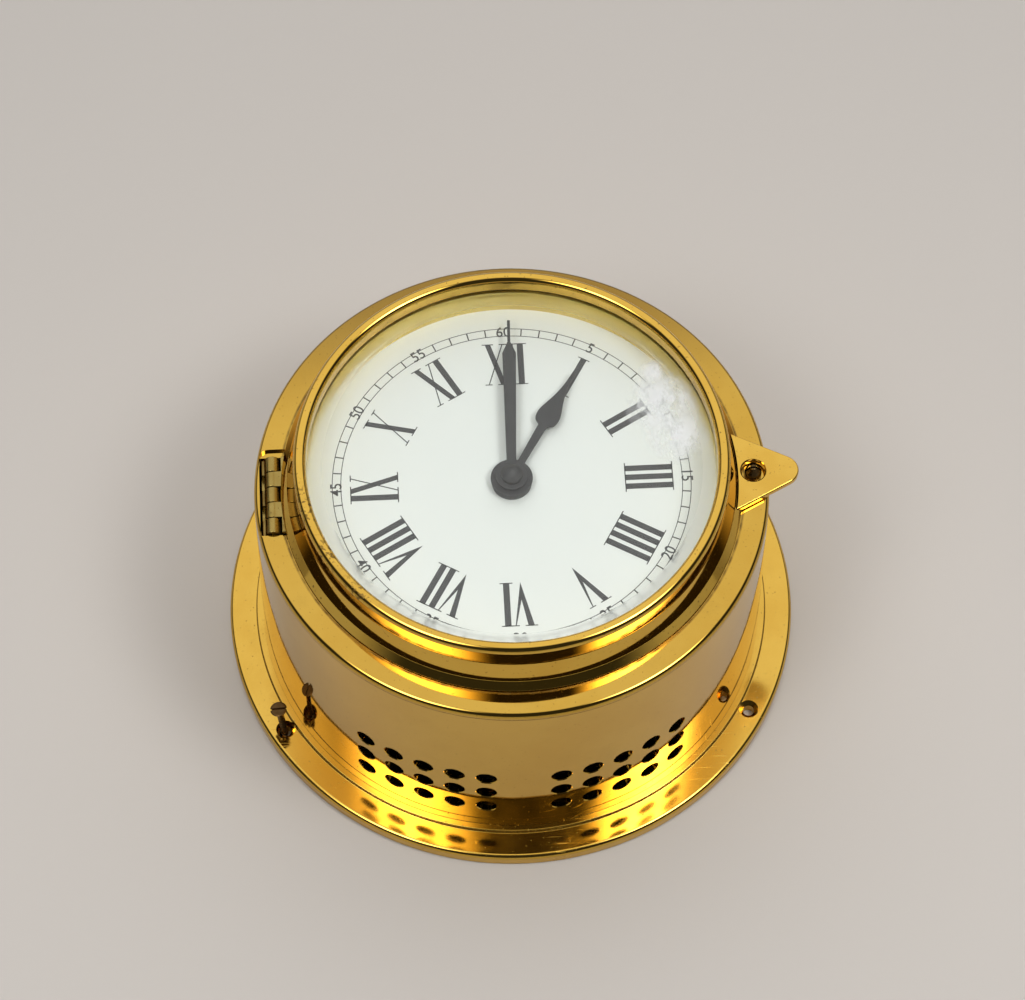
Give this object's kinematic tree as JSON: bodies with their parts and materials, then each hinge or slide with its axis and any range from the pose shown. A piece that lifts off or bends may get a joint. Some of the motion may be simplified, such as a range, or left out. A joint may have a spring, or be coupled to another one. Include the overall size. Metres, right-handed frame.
{
  "type": "ship's clock",
  "caption": "Round brass ship's clock lying on its back: flanged drum with vent holes, hinged glazed bezel with latch, white dial, black hands.",
  "frame": {"origin": "centre of the flat back face, which is the bottom of the bounding box", "axes": "+Z out of the dial, +Y towards twelve o'clock, +X towards three o'clock and the latch"},
  "size_m": [0.18, 0.18, 0.0987],
  "materials": {
    "polished_brass": "polished and lacquered, lightly worn",
    "worn_brass": "satin, darkened in the joints",
    "dark_brass": "dark patina",
    "bell_metal": "polished bell metal",
    "steel": "turned and plated",
    "zinc_steel": "zinc plated sheet",
    "rusty_steel": "rusty",
    "dial_white": "satin white enamel with black figures",
    "black_paint": "matt black",
    "black_plastic": "moulded",
    "white_plastic": "moulded",
    "board_green": "glass fibre board",
    "copper_wire": "enamelled copper winding",
    "cell_jacket": "printed jacket without words",
    "clear_glass": "clear, polished bevel"
  },
  "bodies": {
    "case": {"mounting_flange": "polished_brass", "drum_shell": "polished_brass", "front_rim": "polished_brass", "back_cover": "black_paint", "cover_screw_1": "steel", "cover_screw_2": "steel", "cover_screw_3": "steel", "dial_plate": "dial_white", "dial_collar": "polished_brass", "centre_nut": "black_paint", "catch_stud": "dark_brass", "hinge_case_leaf": "worn_brass", "hinge_pin": "worn_brass", "movement_tray": "black_plastic", "movement_lid": "black_plastic", "movement_mid_plate": "white_plastic", "motor_stator": "steel", "motor_coil": "copper_wire", "movement_board": "board_green", "quartz_crystal": "steel", "chassis_plate": "zinc_steel", "chassis_pillar_1": "steel", "chassis_pillar_2": "steel", "chassis_pillar_3": "steel", "chassis_screw_1": "steel", "chassis_screw_2": "steel", "chassis_screw_3": "steel", "bell_cup": "bell_metal", "bell_post": "steel", "bell_nut": "steel", "hammer_pivot": "steel", "magnet_yoke": "zinc_steel", "magnet_coil": "copper_wire", "magnet_core": "steel", "battery_holder": "black_plastic", "battery_cell_1": "cell_jacket", "battery_cell_2": "cell_jacket", "contact_bridge": "steel", "contact_end_1": "steel", "contact_end_2": "steel", "strike_board": "board_green", "battery_lead": "black_plastic", "movement_lead": "black_plastic", "mounting_screw": "rusty_steel"},
    "bezel": {"bezel_ring": "polished_brass", "bezel_glass": "clear_glass", "glass_retainer": "polished_brass", "latch_tab": "polished_brass", "hinge_bezel_leaf": "worn_brass"},
    "minute": {"minute_hand": "black_paint", "hand_cap": "black_paint", "minute_arbor": "steel"},
    "hour": {"hour_hand": "black_paint", "hour_wheel": "steel"},
    "motion": {"motion_wheel": "white_plastic"},
    "third": {"third_wheel": "white_plastic"},
    "rotor": {"motor_rotor": "white_plastic"},
    "knob": {"setting_knob": "black_plastic"},
    "hammer": {"hammer_arm": "steel"}
  },
  "joints": [
    {"name": "bezel_hinge", "type": "hinge", "parent": "case", "child": "bezel", "pos_m": [-0.0727, 0, 0.0789], "axis": [0, -1, 0], "range_deg": [0, 100]},
    {"name": "minute_turn", "type": "hinge", "parent": "case", "child": "minute", "pos_m": [0, 0, 0.0813], "axis": [0, 0, -1], "continuous": true},
    {"name": "hour_turn", "type": "hinge", "parent": "case", "child": "hour", "pos_m": [0, 0, 0.0813], "axis": [0, 0, -1], "continuous": true},
    {"name": "motion_wheel_turn", "type": "hinge", "parent": "case", "child": "motion", "pos_m": [-0.0085, -0.0031, 0.077], "axis": [0, 0, -1], "continuous": true},
    {"name": "third_wheel_turn", "type": "hinge", "parent": "case", "child": "third", "pos_m": [0, 0.00905, 0.072], "axis": [0, 0, -1], "continuous": true},
    {"name": "rotor_turn", "type": "hinge", "parent": "case", "child": "rotor", "pos_m": [0.00843, 0.00757, 0.07], "axis": [0, 0, -1], "continuous": true},
    {"name": "setting_knob_turn", "type": "hinge", "parent": "case", "child": "knob", "pos_m": [-0.01504, -0.01089, 0.062], "axis": [0, 0, -1], "continuous": true},
    {"name": "hammer_swing", "type": "hinge", "parent": "case", "child": "hammer", "pos_m": [-0.046, -0.002, 0.0405], "axis": [0, 0, -1], "range_deg": [0, 5], "stiffness_Nm_per_rad": 0.02, "springref_deg": -2.86}
  ],
  "couplings": [
    {"joint": "hour_turn", "follows": "minute_turn", "ratio": 0.083333},
    {"joint": "motion_wheel_turn", "follows": "minute_turn", "ratio": -0.33333},
    {"joint": "third_wheel_turn", "follows": "minute_turn", "ratio": -7.5},
    {"joint": "rotor_turn", "follows": "minute_turn", "ratio": 60},
    {"joint": "setting_knob_turn", "follows": "minute_turn", "ratio": 0.66667}
  ]
}
